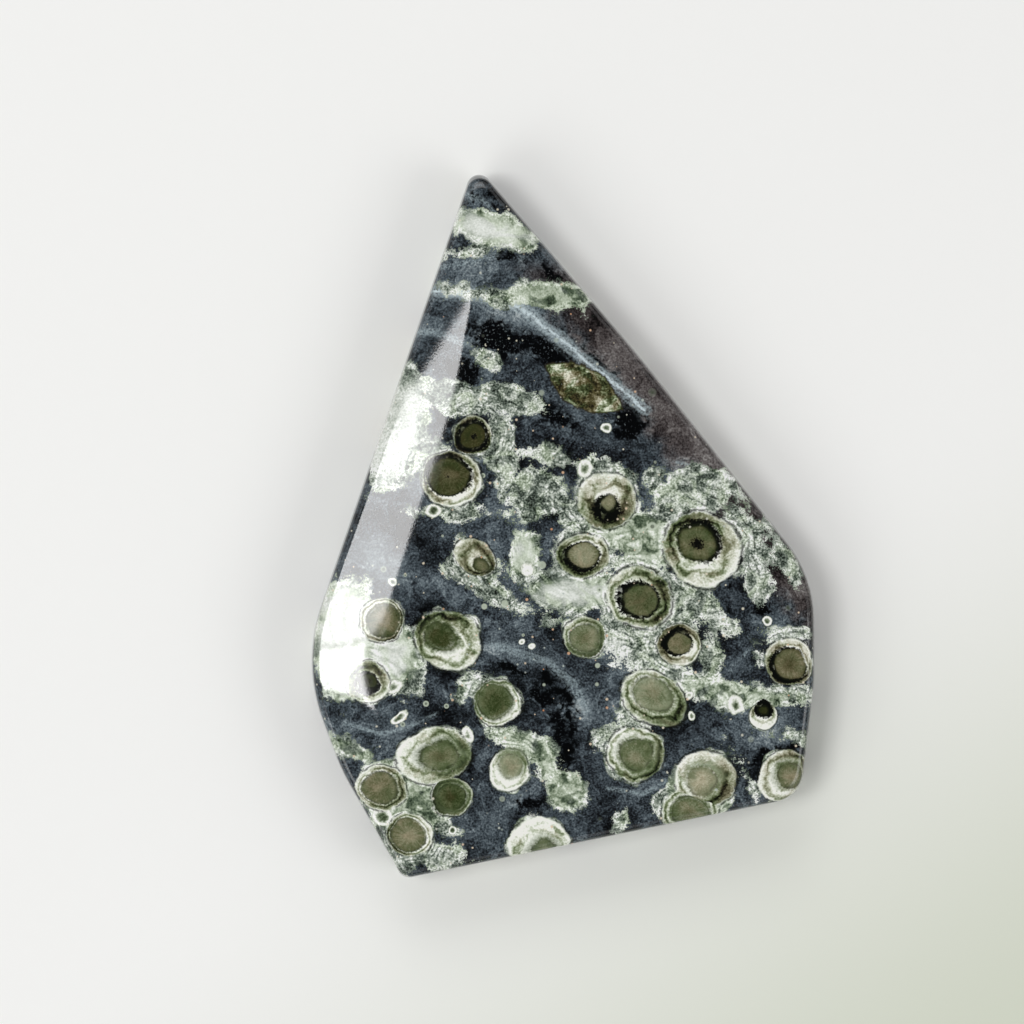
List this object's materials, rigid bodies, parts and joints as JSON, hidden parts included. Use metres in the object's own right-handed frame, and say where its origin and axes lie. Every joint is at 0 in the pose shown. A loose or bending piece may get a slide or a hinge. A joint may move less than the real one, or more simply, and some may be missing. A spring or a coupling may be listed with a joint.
{
  "type": "polished kambaba jasper freeform slab",
  "caption": "Polished kite-shaped slab of dark stone with green orb markings, domed on its show face and flat on its back.",
  "frame": {"origin": "middle of the outline's bounding box, on the flat back that the slab rests on", "axes": "+Z out of the domed show face, +Y towards the pointed end, +X towards the right side as seen in the picture"},
  "size_m": [0.0502, 0.0702, 0.009],
  "materials": {
    "polished_jasper": "mirror polished, dark blue-grey matrix with olive green orbs in dark rings and pale green rims"
  },
  "bodies": {
    "root": {"stone": "polished_jasper"}
  },
  "joints": []
}
